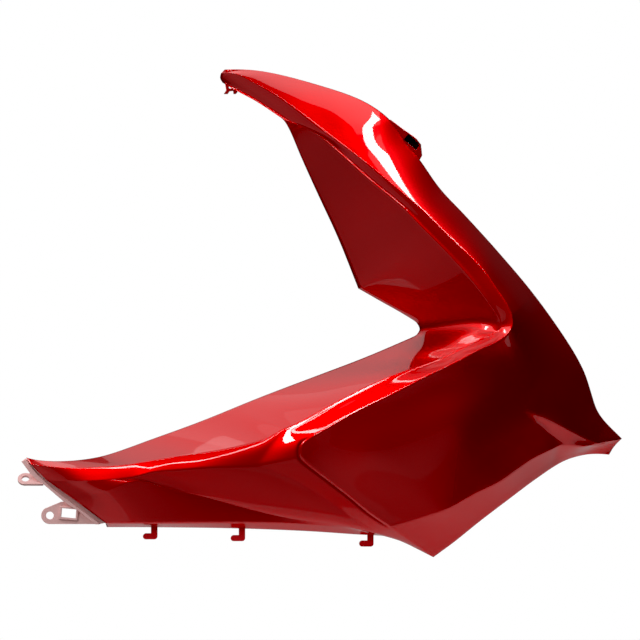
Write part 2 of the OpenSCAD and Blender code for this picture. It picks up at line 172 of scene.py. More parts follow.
# %% Where the rows lie
tip_at = evenly(7)
arm_at = evenly(28)
turn_at = evenly(6)
lobe_at = np.concatenate([evenly(23)[:-1], [0.985, 1]])
face_at = np.array([0, 0.1, 0.2, 0.3, 0.4, 0.5, 0.6, 0.7, 0.8, 0.9, 0.975, 1])
band_at = np.array([0, 0.12, 0.5, 0.88, 1])
wall_at = np.array([0, 0.16, 0.34, 0.52, 0.7, 0.86, 0.97, 1])
nib_at = np.array([0, 0.14, 0.5, 0.86, 1])
facet_at = np.concatenate([[0, 0.04], np.linspace(0.1, 0.9, 11), [0.96, 1]])
flank_at = np.array([0, 0.08, 0.5, 0.92, 1])
hem_at = np.array([0, 0.3, 1])
floor_at = evenly(26)
tip_n, arm_n, turn_n, lobe_n, facet_n, flank_n, floor_n = (
    len(at) - 1 for at in (tip_at, arm_at, turn_at, lobe_at, facet_at, flank_at, floor_at))
print("pieces along the arm:", arm_n, "and along the lobe:", lobe_n)

# %% Rows that run past a corner
def in_turn(stops, rows):
    """Rows one after the other, each set between two of the shares in stops."""
    return np.concatenate([[stops[0]]] + [a + (b - a) * at[1:]
                                          for at, a, b in zip(rows, stops, stops[1:])])


side_at = in_turn((0, 0.1, 1), (nib_at, facet_at))
keel_at = in_turn((0, 0.7, 1), (flank_at, hem_at))
across_at = in_turn((0, 0.26, 0.34, 1), (face_at, turn_at, lobe_at))
floor_run = in_turn((0, lobe_n / (lobe_n + floor_n), 1), (lobe_at, floor_at))
arm_end = tip_n + arm_n
lobe_end = arm_end + turn_n + lobe_n
crest_n = lobe_end + len(side_at) - 1
print("pieces along the crest:", crest_n)

# %% [markdown]
# The face as a sprung plate
#
# Between its lines the big painted face has no marks to follow, and yet every ripple in it would
# show. A thin metal plate sprung through pins is the smoothest surface there is through them, so
# its equation fills the face and the rear wall. It could be sculpted too, but a hand-made
# surface this glossy is hard to keep fair.

# %% Spring a plate through pins
plate_unit, same_spot = 100, 1e-8


def bend(a, b):
    """How a pin at each spot of b bends the plate at each spot of a."""
    r2 = ((a[:, None, :] - b[None, :, :]) ** 2).sum(axis=2)
    return np.where(r2 > same_spot, 0.5 * r2 * np.log(np.maximum(r2, same_spot)), 0)


def sprung_plate(pins, ease=0.003):
    """Returns a function that gives how far out the plate is at any points. With more ease it
    may pass beside its pins, and is flatter."""
    pins = np.array(pins, float)
    flat, n = pins[:, :2] / plate_unit, len(pins)
    side = np.column_stack([np.ones(n), flat])
    system = np.block([[bend(flat, flat) + ease * np.eye(n), side], [side.T, np.zeros((3, 3))]])
    pull = np.linalg.solve(system, np.concatenate([pins[:, 2], np.zeros(3)]))

    def out_at(x, z):
        spot = np.column_stack([np.ravel(x), np.ravel(z)]) / plate_unit
        here = np.column_stack([bend(spot, flat), np.ones(len(spot)), spot])
        return (here @ pull).reshape(np.shape(x))

    return out_at


print("through three pins 5 mm out, the plate stands out",
      round(float(sprung_plate([(0, 0, 5), (90, 0, 5), (0, 90, 5)])(30, 30)), 1), "mm")

# %% Plates of the face and the rear wall
inner_pins = [(455, 105, 85), (520, 145, 66), (350, 70, 70), (560, 120, 32)]
face_plate = sprung_plate(crest_line + top_line + front_line + brow_line + inner_pins)
wall_side = shoulder_line[4:18]
wall_plate = sprung_plate(wall_side + rear_edge + foot_edge, ease=3)
face_middle = (450, 120)
print("face at its middle stands out", round(float(face_plate(*face_middle)), 1), "mm")

# %% [markdown]
# Patches between lines
#
# Four lines that meet at their ends hold a patch. Each inner point is blended from the points
# opposite it on all four, so the patch meets its lines exactly and no seam can open.

# %% Fill a patch
def patch(top, foot, left, right, u, v, plate=None, fade=1):
    """A grid of skin points between four lines, with the left and right sides at the shares v
    and the others at u. A larger fade keeps the shape of the two sides close to them."""
    top, foot, left, right = (np.array(line, float) for line in (top, foot, left, right))
    if plate is not None:
        top, foot, left, right = (np.column_stack([p, p[:, 1] - plate(p[:, 0], p[:, 2])])
                                  for p in (top, foot, left, right))
    u, v = np.asarray(u)[None, :, None], np.asarray(v)[:, None, None]
    grid = (top[None] * (1 - v) + foot[None] * v
            + (left[:, None] - top[0] * (1 - v) - foot[0] * v) * (1 - u) ** fade
            + (right[:, None] - top[-1] * (1 - v) - foot[-1] * v) * u ** fade)
    if plate is not None:
        grid[..., 1] = plate(grid[..., 0], grid[..., 2]) + grid[..., 4]
    grid[0], grid[-1], grid[:, 0], grid[:, -1] = top, foot, left, right
    return grid[..., :4]

# %% Points with a wall
FACE_WALL, SHELF_WALL, EDGE_WALL = 3.2, 5.5, 4.5


def skin(points, wall):
    """Line points as skin points: forward, out, up, and the wall's thickness there."""
    p = np.asarray(points)
    return np.column_stack([p[:, 0], p[:, 2], p[:, 1], np.full(len(p), float(wall))])


def straight(a, b, at):
    """Points between a and b at the given shares of the way."""
    return np.array([a + (b - a) * s for s in at])


def ends(line, first, last):
    """The same line with its two ends moved onto points that it shares."""
    return np.concatenate([[first], line[1:-1], [last]])


print("first point of the crest:", skin(crest_line, FACE_WALL)[0])

# %% Lines round the face
crest_stops, front_stops = (0, 5, 14, 16, 25, 27, 32), (0, 6, 11)
crest = skin(cut_in_turn(crest_line, crest_stops,
                         (tip_at, arm_at, turn_at, lobe_at, nib_at, facet_at)), FACE_WALL)
keel = skin(cut(keel_line, across_at), EDGE_WALL)
crest_tail = straight(crest[crest_n], keel[-1], keel_at)
front = skin(joined(cut(top_line, tip_at), cut(front_line, arm_at, *front_stops[:2])), EDGE_WALL)
nose = skin(cut(nose_line, keel_at), EDGE_WALL)
front_low = skin(cut(front_line, side_at, *front_stops[1:]), EDGE_WALL)
tip_side = straight(front[0], crest[0], face_at)
tip_end = skin(cut(tip_line, band_at), FACE_WALL)
cross = straight(front[arm_end], crest[arm_end], face_at)
cross[1:-1, 1] = face_plate(cross[1:-1, 0], cross[1:-1, 2])
brow = ends(skin(cut(brow_line, across_at), EDGE_WALL), nose[0], crest[crest_n])
print("crest:", len(crest), "points, front edge:", len(front) + len(front_low) - 1)

# %% Lines round the rear wall, the step and the shelf
shoulder_stops, foot_n = (0, 4, 15, 17, 24), 9
shoulder_arm = skin(cut_in_turn(shoulder_line, shoulder_stops[:3], (tip_at, arm_at)), FACE_WALL)
wall_edge = skin(joined(cut(rear_edge, evenly(arm_n - foot_n)), cut(foot_edge, evenly(foot_n))),
                 FACE_WALL)
wall_foot = straight(wall_edge[-1], shoulder_arm[-1], wall_at)
step_foot = skin(cut(step_line, wall_at), SHELF_WALL)
notch_round = ends(skin(cut(notch_turn, turn_at), EDGE_WALL), wall_edge[-1], step_foot[0])
shoulder_round = ends(skin(cut(shoulder_line, turn_at, *shoulder_stops[2:4]), EDGE_WALL),
                      shoulder_arm[-1], step_foot[-1])
nib = skin(cut(nib_line, nib_at), EDGE_WALL)
shelf_side = ends(skin(cut(shoulder_line, lobe_at, *shoulder_stops[3:]), EDGE_WALL),
                  step_foot[-1], nib[0])
floor_side = ends(skin(cut(floor_edge, floor_run), SHELF_WALL), step_foot[0],
                  skin(floor_edge, SHELF_WALL)[-1])
belt = skin(cut(belt_line, floor_at), EDGE_WALL)
shelf_foot = joined(shelf_side, belt)
shelf_end = straight(floor_side[-1], belt[-1], wall_at)
print("rear wall:", len(wall_edge), "points, shelf:", len(shelf_foot))

# %% Lines of the flank
low_stops = (0, 4, 5)
low_side = skin(cut_in_turn(low_line, low_stops, (facet_at, keel_at)), EDGE_WALL)
shoulder = joined(shoulder_arm, shoulder_round, shelf_side, nib, low_side)
hem_top = skin(cut(hem_line, floor_at), EDGE_WALL)
hem_top[0] = low_side[facet_n + flank_n]
flank_lines = [belt, skin(cut(fold_top_line, floor_at), EDGE_WALL),
               skin(cut(fold_foot_line, floor_at), EDGE_WALL), hem_top,
               skin(cut(hem_edge, floor_at), EDGE_WALL)]
flank_rows = [nib_at, facet_at, flank_at, hem_at]
flank_sides = [nib, low_side[:facet_n + 1], low_side[facet_n:facet_n + flank_n + 1],
               low_side[facet_n + flank_n:]]
band_u = np.concatenate([[0], np.cumsum(np.linalg.norm(np.diff(shoulder[:, :3], axis=0), axis=1))])
band_u = band_u / band_u[-1]
print("band runs", len(shoulder), "points")

# %% Patches of the face and the arms
step = patch(wall_foot, step_foot, notch_round, shoulder_round, wall_at, turn_at)
step[:, 1:-1, 1] = (wall_foot[1:-1, 1] + (step_foot[1:-1, 1] - wall_foot[1:-1, 1])
                    * turn_at[:, None] ** 2)
up_wall = 1 - wall_at[::-1]
patches = {
    "band": patch(joined(crest, crest_tail), shoulder, tip_end,
                  straight(crest_tail[-1], shoulder[-1], band_at), band_u, band_at),
    "arm_face": patch(front, crest[:arm_end + 1], tip_side, cross,
                      evenly(arm_end), face_at, face_plate),
    "lobe_face": patch(joined(cross, crest[arm_end:lobe_end + 1]), brow,
                       ends(front_low, front[arm_end], nose[0]), crest[lobe_end:crest_n + 1],
                       across_at, side_at, face_plate),
    "chin": patch(brow, keel, nose, crest_tail, across_at, keel_at),
    "rear_wall": patch(shoulder[tip_n:arm_end + 1], wall_edge,
                       straight(shoulder[tip_n], wall_edge[0], up_wall),
                       wall_foot[::-1], arm_at, up_wall, wall_plate),
    "step": step,
    "shelf": patch(floor_side, shelf_foot, step_foot, shelf_end, floor_run, wall_at, fade=6),
}
print("patches:", ", ".join(patches))

# %% Patches of the flank
for k, rows in enumerate(flank_rows):
    upper, lower = flank_lines[k], flank_lines[k + 1]
    patches[f"flank_{k}"] = patch(upper, lower, flank_sides[k],
                                  straight(upper[-1], lower[-1], rows), floor_at, rows)
print("faces in the outer skin:",
      sum((g.shape[0] - 1) * (g.shape[1] - 1) for g in patches.values()))

# %% [markdown]
# The full upper arm
#
# The arm's face is a little fuller than a plate sprung through its edges. It could get pins of
# its own, but a swell that is nothing at the edges leaves the lines alone, and it fades out
# towards both ends of the arm.

# %% Swell the upper arm
arm_swell, swell_fade = 3.5, 0.25


def ease_in(t):
    """Rises from 0 to 1 without a kink, and is level before and after."""
    t = np.clip(t, 0, 1)
    return t * t * (3 - 2 * t)


arm = patches["arm_face"]
along, over = np.linspace(0, 1, arm.shape[1])[None], face_at[:, None]
lasts = ease_in(along / swell_fade) * ease_in((1 - along) / swell_fade)
arm[..., 1] += arm_swell * 4 * over * (1 - over) * lasts
print("arm face swells", arm_swell, "mm")

# %% [markdown]
# One closed shell
#
# The moulding has a wall of three to six millimetres. The inner skin is the outer one moved
# towards the scooter by the wall, and a narrow rim closes the two along the free edge. A
# Solidify modifier could do it, but it folds over itself inside the tight creases.

# %% Sew the patches together
def wound(grid):
    """The patch turned so that its faces look outboard."""
    x, z = grid[..., 0], grid[..., 2]
    across = ((x[1:, 1:] - x[:-1, :-1]) * (z[1:, :-1] - z[:-1, 1:])
              - (z[1:, 1:] - z[:-1, :-1]) * (x[1:, :-1] - x[:-1, 1:]))
    return grid[:, ::-1] if across.sum() > 0 else grid


spots, quads, start = [], [], 0
for grid in patches.values():
    grid = wound(grid)
    rows, cols = grid.shape[:2]
    index = start + np.arange(rows * cols).reshape(rows, cols)
    quads.append(np.stack([index[:-1, :-1], index[1:, :-1], index[1:, 1:], index[:-1, 1:]],
                          axis=2).reshape(-1, 4))
    spots.append(grid.reshape(-1, 4))
    start += rows * cols
spots, quads = np.concatenate(spots), np.concatenate(quads)
weld_digits = 2
_, first, merged = np.unique(np.round(spots[:, :3], weld_digits), axis=0, return_index=True,
                             return_inverse=True)
spots, quads = spots[first], merged.ravel()[quads]
print(start, "points of the patches become", len(spots))

# %% Close the shell with an inner skin and a rim
outer_faces = [list(dict.fromkeys(q)) for q in quads.tolist()]
outer_faces = [f for f in outer_faces if len(f) > 2]
edges = {(f[i - 1], f[i]) for f in outer_faces for i in range(len(f))}
rim_edges = [(a, b) for a, b in edges if (b, a) not in edges]
count = len(spots)
outer = np.column_stack([spots[:, 0], -spots[:, 1], spots[:, 2]])
inner = outer + np.column_stack([np.zeros(count), spots[:, 3], np.zeros(count)])
faces = (outer_faces + [[i + count for i in reversed(f)] for f in outer_faces]
         + [[b, a, a + count, b + count] for a, b in rim_edges])
print(count, "points,", len(outer_faces), "outer faces,", len(rim_edges), "edges on the rim")

# %% Make the mesh
def new_piece(name, verts, polygons):
    """An object of its own, from points and the faces between them."""
    mesh = bpy.data.meshes.new(name)
    mesh.from_pydata([tuple(v) for v in verts], [], [tuple(p) for p in polygons])
    mesh.validate()
    piece = bpy.data.objects.new(name, mesh)
    bpy.context.scene.collection.objects.link(piece)
    return piece


def finished(piece):
    """The piece with its modifiers turned into plain mesh."""
    bpy.context.view_layer.update()
    done = bpy.data.meshes.new_from_object(piece.evaluated_get(
        bpy.context.evaluated_depsgraph_get()))
    piece.modifiers.clear()
    piece.data = done
    return piece


shell = new_piece("shell", np.concatenate([outer, inner]) * MM, faces)
print("shell cage:", len(shell.data.polygons), "faces")

# %% [markdown]
# Paint and bare plastic
#
# The gun sprays the outer side only, and the inside stays bare plastic. The pocket floor is black:
# painted shade for the shadow deep in the pocket. The ears, their frame, the flange and the groove
# floor are red paint made pale pink, a painted reflection of a bright lamp. The hooks are the red
# paint made lighter and flat, painted light for the lamp light that the hem keeps off them. Candy
# paint is a coloured metallic below a clear coat, so the base is metal with a soft gloss and the
# coat is nearly a mirror.

# %% Paint and bare plastic
def material(name, colour, roughness, **inputs):
    """A plain material, with further inputs of its shader set by name."""
    made = bpy.data.materials.new(name)
    made.use_nodes = True
    shader = made.node_tree.nodes["Principled BSDF"]
    shader.inputs["Base Color"].default_value = (*colour, 1)
    shader.inputs["Roughness"].default_value = roughness
    for label, value in inputs.items():
        shader.inputs[label.replace("_", " ")].default_value = value
    return made


candy_paint = material("candy_paint", (0.75, 0.0, 0.002), 0.42, Metallic=1.0, Coat_Weight=1.0,
                       Coat_Roughness=0.03, Coat_IOR=1.6)
# Red paint made pale pink for the ears, the frame, the flange and the groove floor: a painted
# reflection.
pale_painted_reflection = material("pale_painted_reflection", (1.0, 0.6, 0.58), 0.35)
# Red paint made lighter and flat for the hooks: painted light, since the hem shades them from the
# lamps.
hook_red_painted_light = material("hook_red_painted_light", (0.85, 0.02, 0.025), 0.4)
bare_plastic = material("bare_plastic", (0.16, 0.16, 0.165), 0.45)
# Black for the pocket floor: painted shade for the shadow deep in the pocket.
pocket_painted_shade = material("pocket_painted_shade", (0.01, 0.01, 0.01), 0.6)
for made in (candy_paint, bare_plastic):
    shell.data.materials.append(made)
side = np.zeros(len(shell.data.polygons), int)
side[len(outer_faces):2 * len(outer_faces)] = 1
shell.data.polygons.foreach_set("material_index", side)
print(int(side.sum()), "inner faces stay bare")

# %% [markdown]
# Rounded creases and a crisp outline
#
# Two rounds of subdivision turn each crease into a small round, as wide as the rows beside it.
# The free edge has to stay where the outline is, so its edges are marked as creases, and so is
# each point where the outline turns sharply.

# %% Keep the outline where it is
crease_edge = shell.data.attributes.new("crease_edge", "FLOAT", "EDGE")
rim_keys = {frozenset((a + k, b + k)) for a, b in rim_edges for k in (0, count)}
for edge in shell.data.edges:
    crease_edge.data[edge.index].value = float(frozenset(edge.vertices) in rim_keys)

sharp_degrees = 38
after_point = dict(rim_edges)
before_point = {b: a for a, b in rim_edges}
corner = np.zeros(2 * count)
for i, onward in after_point.items():
    way_in = outer[i] - outer[before_point[i]]
    way_out = outer[onward] - outer[i]
    turn_cos = way_in @ way_out / (np.linalg.norm(way_in) * np.linalg.norm(way_out))
    if turn_cos < math.cos(math.radians(sharp_degrees)):
        corner[[i, i + count]] = 1
shell.data.attributes.new("crease_vert", "FLOAT", "POINT").data.foreach_set("value", corner)
print(int(corner.sum() / 2), "sharp corners on the outline")

# %% Round it by subdivision
smooth = shell.modifiers.new("Rounding", "SUBSURF")
smooth.levels = smooth.render_levels = 2
smooth.boundary_smooth = "PRESERVE_CORNERS"
finished(shell)
shell.data.polygons.foreach_set("use_smooth", np.ones(len(shell.data.polygons), bool))
print("shell:", len(shell.data.polygons), "faces")

# %% [markdown]
# The scoop beside the nose
#
# A teardrop is pressed into the lower front of the face. Above it the face stands proud, and from
# that lip a shallow dish runs down to the lower rim. The rounded shell is fine enough by now to
# be pushed in and out point by point, which keeps the lip crisp.

# %% Press the scoop
fold_from, fold_to = np.array([521.5, 118.8]), np.array([602.4, 81.4])
fold_slope, fold_fade, dish_deep = 0.42, 60, 0.8
rim_at, rim_width = (0, 0.07, 0.4, 0.69, 0.92, 1.05), (0.2, 3.4, 12, 16.5, 10.5, 4)
scoop_first, scoop_fades, scoop_last, dish_rise = -0.5, 0.85, 1.35, 1 / 3


def scoop(x, z):
    """How far the scoop moves the face outboard at a point of the side view."""
    way = fold_to - fold_from
    length = np.linalg.norm(way)
    dx, dz = x - fold_from[0], z - fold_from[1]
    t = (dx * way[0] + dz * way[1]) / length ** 2
    beside = (dx * way[1] - dz * way[0]) / length
    width = np.interp(t, rim_at, rim_width)
    down = np.clip(beside / width, 0, 1)
    lip = np.where(beside < 0, 1 - ease_in(-beside / fold_fade), 1 - down)
    dish = dish_deep * np.sin(np.pi * down) * ease_in(t / dish_rise)
    lasts = (1 - ease_in((t - scoop_fades) / (scoop_last - scoop_fades))) * (t > scoop_first)
    return (fold_slope * width * lip - dish) * lasts


def press(outboard):
    """Moves each point of the shell outboard by a function of the side view, in millimetres."""
    at = np.empty(3 * len(shell.data.vertices))
    shell.data.vertices.foreach_get("co", at)
    at = at.reshape(-1, 3)
    at[:, 1] -= outboard(at[:, 0] / MM, at[:, 2] / MM) * MM
    shell.data.vertices.foreach_set("co", at.ravel())
    shell.data.update()


press(scoop)
print("lip stands", round(fold_slope * max(rim_width), 1), "mm proud")

# %% [markdown]
# The seam under the lobe
#
# Below the nib a fine groove follows the lower crest and sets the proud lobe off from the flank.
# It is pressed like the scoop, by the distance from the crest.

# %% Press the seam
seam_deep, seam_half, seam_aside, seam_overrun = 1.6, 1.3, 1.5, 2
seam_first, seam_pieces = 24, 70
seam_x, seam_z = (265, 395), (-30, 100)
seam_top, seam_foot, top_fade, foot_fade = 90, -16, 12, 10
seam = cut(crest_line, evenly(seam_pieces), seam_first)[:, :2]


def groove(x, z):
    """How far the seam moves the shell outboard. It is negative, so the shell goes in."""
    deep = np.zeros(np.shape(x))
    here = np.flatnonzero((x > seam_x[0]) & (x < seam_x[1]) & (z > seam_z[0]) & (z < seam_z[1]))
    spot = np.column_stack([x[here], z[here]])
    nearest = ((spot[:, None] - seam[None]) ** 2).sum(axis=2).argmin(axis=1)
    way = np.gradient(seam, axis=0)[nearest]
    way /= np.linalg.norm(way, axis=1)[:, None]
    gap = spot - seam[nearest]
    beside = way[:, 1] * gap[:, 0] - way[:, 0] * gap[:, 1]
    past_end = np.abs((gap * way).sum(axis=1))
    deep[here] = np.exp(-((beside - seam_aside) / seam_half) ** 2) * (past_end < seam_overrun)
    lasts = ease_in((seam_top - z) / top_fade) * ease_in((z - seam_foot) / foot_fade)
    return -seam_deep * deep * lasts


press(groove)
print("seam pressed", seam_deep, "mm deep")

# %% [markdown]
# Small flat features
#
# The ears, the flange and the tabs are flat ribs of the same moulding. Each is drawn as an
# outline in the side view and given its thickness across the scooter. A filled curve does that
# well: it takes holes as further loops, and its bevel rounds the edges as a mould does.

# %% Outlines for flat features
def ring(x, z, radius, start=0, stop=360, steps=40):
    """Points round a circle, in degrees anticlockwise from forward."""
    turns = np.radians(np.linspace(start, stop, steps + 1))
    if stop - start == 360:
        turns = turns[:-1]
    return [(x + radius * math.cos(t), z + radius * math.sin(t)) for t in turns]


def box_loop(x, z, width, height, turned=0):
    """The corners of a box round x and z, turned anticlockwise by so many degrees."""
    c, s = math.cos(math.radians(turned)), math.sin(math.radians(turned))
    return [(x + u * c - v * s, z + u * s + v * c) for u, v in (
        (-width / 2, -height / 2), (width / 2, -height / 2), (width / 2, height / 2),
        (-width / 2, height / 2))]


print("a screw hole is drawn with", len(ring(0, 0, 1)), "points")

# %% Flat features from outlines
def flat_piece(name, loops, inboard, thickness, edge=0.35):
    """A plate between the loops, from how far out its back is, with rounded edges."""
    curve = bpy.data.curves.new(name, "CURVE")
    curve.dimensions, curve.fill_mode = "2D", "BOTH"
    for loop in loops:
        line = curve.splines.new("POLY")
        line.points.add(len(loop) - 1)
        for point, (x, z) in zip(line.points, loop):
            point.co = (x, z, 0, 1)
        line.use_cyclic_u = True
    curve.extrude, curve.bevel_depth, curve.bevel_resolution = thickness / 2 - edge, edge, 2
    curve.offset = -edge
    drawn = bpy.data.objects.new(name, curve)
    bpy.context.scene.collection.objects.link(drawn)
    bpy.context.view_layer.update()
    mesh = bpy.data.meshes.new_from_object(
        drawn.evaluated_get(bpy.context.evaluated_depsgraph_get()))
    bpy.data.objects.remove(drawn)
    stand = Matrix(((MM, 0, 0, 0), (0, 0, -MM, -(inboard + thickness / 2) * MM),
                    (0, MM, 0, 0), (0, 0, 0, 1)))
    mesh.transform(stand)
    shaped = bmesh.new()
    shaped.from_mesh(mesh)
    bmesh.ops.remove_doubles(shaped, verts=shaped.verts, dist=0.001 * MM)
    bmesh.ops.recalc_face_normals(shaped, faces=shaped.faces)
    shaped.to_mesh(mesh)
    shaped.free()
    mesh.name = name
    piece = bpy.data.objects.new(name, mesh)
    bpy.context.scene.collection.objects.link(piece)
    print(name, "has", len(mesh.polygons), "faces")
    return piece

# %% [markdown]
# The screw ears
#
# The rear end is screwed to the frame at two ears. Each has a round end with a hole for a
# collared screw. The lower ear also has a window with a raised frame, where a catch can snap in.

# %% Lower ear with its window
hole_r, ear_t, arc_steps = 4.3, 3.0, 24
lower_r, window, window_turned = 9.5, (21, 2.5, 16, 10), -5
lower_outline = (ring(0, 0, lower_r, 125, 270, arc_steps)
                 + [(50, -lower_r), (44, -4), (20, 16), (12, 15)])
window_hole = box_loop(*window, window_turned)
lower_ear = flat_piece("lower_ear", [lower_outline, ring(0, 0, hole_r), window_hole],
                       -ear_t, ear_t)
frame_w, frame_behind, frame_proud = 4.2, 1, 2.5
frame_outline = box_loop(*window[:2], window[2] + frame_w, window[3] + frame_w, window_turned)
window_frame = flat_piece("window_frame", [frame_outline, window_hole],
                          -ear_t - frame_behind, ear_t + frame_behind + frame_proud)

# %% Upper ear, which leans up
upper_r, upper_at, upper_lean = 8.5, (-27, 41), 45
upper_outline = (ring(0, 0, upper_r, 90, 270, arc_steps)
                 + [(20, -upper_r), (20, upper_r - 3)])
upper_ear = flat_piece("upper_ear", [upper_outline, ring(0, 0, hole_r)], -ear_t, ear_t)
lean = (Matrix.Translation((upper_at[0] * MM, 0, upper_at[1] * MM))
        @ Matrix.Rotation(math.radians(-upper_lean), 4, "X"))
upper_ear.data.transform(lean)
print("upper ear leans", upper_lean, "degrees")

# %% Flange behind the rear end
flange_floor = [(-31, 60), (-26.8, 63), (62, -8), (54.6, -9.7), (45.8, -6), (33.7, 3.9),
                (13.5, 17.4), (-6.3, 34.3), (-13.6, 38.7), (-21, 46)]
flange_outline = [(-31.2, 59.9), (-26.8, 61.6), (-13.6, 45.7), (4, 29.2), (31.5, 8.8),
                  (54.6, -7.7), (54.6, -9.7), (50.7, -9.7), (45.8, -6), (33.7, 3.9), (19.4, 12.6),
                  (13.5, 17.4), (-6.3, 34.3), (-13.6, 38.7), (-21, 46)]
flange_out, flange_in, floor_t = 5, 1.5, 2
groove_floor = flat_piece("groove_floor", [flange_floor], -ear_t, floor_t)
rear_flange = flat_piece("rear_flange", [flange_outline], -flange_in, flange_out + flange_in)

# %% [markdown]
# The slotted tab
#
# At the top front corner the cover in front of this panel slides its tongue into a pocket. The
# pocket is open towards the front, and its floor is black: painted shade for the shadow inside it.

# %% Slotted tab
tab_outline = [(360, 440), (377, 437), (389, 428), (401.6, 419.1), (406, 415.5), (410.7, 406),
               (411.5, 397.5), (406, 388), (390, 390)]
slot_at, slot_size, slot_turned = (400.5, 412.5), (18, 8), -41
pocket_out, pocket_t, tab_t = 2, 2, 8
pocket_floor = flat_piece("pocket_floor", [tab_outline], pocket_out, pocket_t)
front_tab = flat_piece("front_tab", [tab_outline, box_loop(*slot_at, *slot_size, slot_turned)],
                       pocket_out + pocket_t, tab_t)

# %% Clip under the tip
clip_outline = [(194, 477), (195.5, 469), (193, 465), (197, 465), (199, 468), (203, 468.5),
                (203.5, 465), (206, 465), (209, 468.5), (205.5, 471), (207, 474)]
clip_hole, clip_hole_r, clip_out, clip_t = (200, 472.5), 1.7, 20, 8
tip_clip = flat_piece("tip_clip", [clip_outline, ring(*clip_hole, clip_hole_r)],
                      clip_out, clip_t)

# %% [markdown]
# The floor hooks
#
# Three hooks hang under the hem and slide into slots of the floor board. They are made alike,
# so one node tree makes the hook from its sizes and puts it at each place.

# %% Helpers for node trees
def node(tree, kind, settings=None, **sockets):
    """A new node with its settings, and with its inputs set or linked by name."""
    made = tree.nodes.new(kind)
    for key, value in (settings or {}).items():
        setattr(made, key, value)
    for key, value in sockets.items():
        socket = made.inputs[int(key[1:]) if key[1:].isdigit() else key.replace("_", " ")]
        if isinstance(value, bpy.types.NodeSocket):
            tree.links.new(value, socket)
        else:
            socket.default_value = value
    return made


def new_tree(name, sizes):
    """A geometry tree with a geometry input and one named input for each size."""
    tree = bpy.data.node_groups.new(name, "GeometryNodeTree")
    tree.interface.new_socket("Geometry", in_out="INPUT", socket_type="NodeSocketGeometry")
    ids = {}
    for label, (kind, value) in sizes.items():
        made = tree.interface.new_socket(label, in_out="INPUT", socket_type="NodeSocket" + kind)
        made.default_value = value
        ids[label] = made.identifier
    tree.interface.new_socket("Geometry", in_out="OUTPUT", socket_type="NodeSocketGeometry")
    return tree, tree.nodes.new("NodeGroupInput"), tree.nodes.new("NodeGroupOutput"), ids


hook_sizes = {"Stem width": 7, "Stem height": 18, "Foot height": 6.5, "Foot reach": 9,
              "Depth": 8}
hook_tree, given, result, hook_ids = new_tree(
    "floor_hooks", {label: ("Float", value * MM) for label, value in hook_sizes.items()})
size = given.outputs
print("a hook has", len(hook_sizes), "sizes")

# %% Helpers for the hook's tree
def sums(operation, a, b):
    """A sum, a difference or a product of two sizes."""
    return node(hook_tree, "ShaderNodeMath", {"operation": operation}, _0=a, _1=b).outputs[0]


def vector(x, y, z):
    """Three sizes as one vector."""
    return node(hook_tree, "ShaderNodeCombineXYZ", X=x, Y=y, Z=z).outputs[0]


def shifted(mesh, x, z):
    """The shape moved forward and up."""
    return node(hook_tree, "GeometryNodeTransform", Geometry=mesh,
                Translation=vector(x, 0.0, z)).outputs[0]


half_foot = sums("MULTIPLY", size["Foot height"], 0.5)
foot_length = sums("SUBTRACT", sums("ADD", size["Stem width"], size["Foot reach"]),
                   size["Foot height"])
print("nodes for the sums:", len(hook_tree.nodes))

# %% Stem, foot and round ends of a hook
stem_share, round_share = 0.92, 0.96
stem = node(hook_tree, "GeometryNodeMeshCube",
            Size=vector(size["Stem width"], sums("MULTIPLY", size["Depth"], stem_share),
                        size["Stem height"])).outputs[0]
stem = shifted(stem, sums("MULTIPLY", size["Stem width"], -0.5),
               sums("MULTIPLY", size["Stem height"], 0.5))
foot = node(hook_tree, "GeometryNodeMeshCube",
            Size=vector(foot_length, size["Depth"], size["Foot height"])).outputs[0]
foot_middle = sums("MULTIPLY", sums("ADD", foot_length, size["Foot height"]), -0.5)
foot = shifted(foot, foot_middle, 0.0)
round_ends = []
for reach in (half_foot, sums("ADD", foot_length, half_foot)):
    end = node(hook_tree, "GeometryNodeMeshCylinder", Vertices=arc_steps, Radius=half_foot,
               Depth=sums("MULTIPLY", size["Depth"], round_share)).outputs["Mesh"]
    end = node(hook_tree, "GeometryNodeTransform", Geometry=end,
               Rotation=(math.pi / 2, 0, 0)).outputs[0]
    round_ends.append(shifted(end, sums("MULTIPLY", reach, -1.0), 0.0))
whole = hook_tree.nodes.new("GeometryNodeJoinGeometry")
for part in [stem, foot] + round_ends:
    hook_tree.links.new(part, whole.inputs[0])
print("nodes so far:", len(hook_tree.nodes))

# %% Hooks under the hem
places = node(hook_tree, "GeometryNodeInstanceOnPoints", Points=size["Geometry"],
              Instance=whole.outputs[0]).outputs[0]
real = node(hook_tree, "GeometryNodeRealizeInstances", Geometry=places).outputs[0]
# The hooks take the lighter flat red, which is painted light.
painted = node(hook_tree, "GeometryNodeSetMaterial", Geometry=real,
               Material=hook_red_painted_light).outputs[0]
hook_tree.links.new(painted, result.inputs[0])

hook_places, hook_hangs, hook_inboard = [(119, -13), (216, -15), (358, -21)], 10, 0.5
hooks = new_piece("floor_hooks", [(x * MM, hook_inboard * MM, (z - hook_hangs) * MM)
                                  for x, z in hook_places], [])
grow = hooks.modifiers.new("Hooks", "NODES")
grow.node_group = hook_tree
for label, value in hook_sizes.items():
    grow[hook_ids[label]] = value * MM
finished(hooks)
print("hooks:", len(hooks.data.polygons), "faces")

# %% [markdown]
# Onto the frame
#
# Everything here is one moulding, so every piece rides on the same body and stands in for the
# same solid. Only the coat differs from piece to piece.

# %% Put the pieces on the frame
# The pale pink coat of the ears, frame, flange and groove floor is a painted reflection.
coats = {lower_ear: pale_painted_reflection, window_frame: pale_painted_reflection, upper_ear: pale_painted_reflection,
         groove_floor: pale_painted_reflection, rear_flange: pale_painted_reflection, front_tab: candy_paint,
         tip_clip: candy_paint, pocket_floor: pocket_painted_shade}
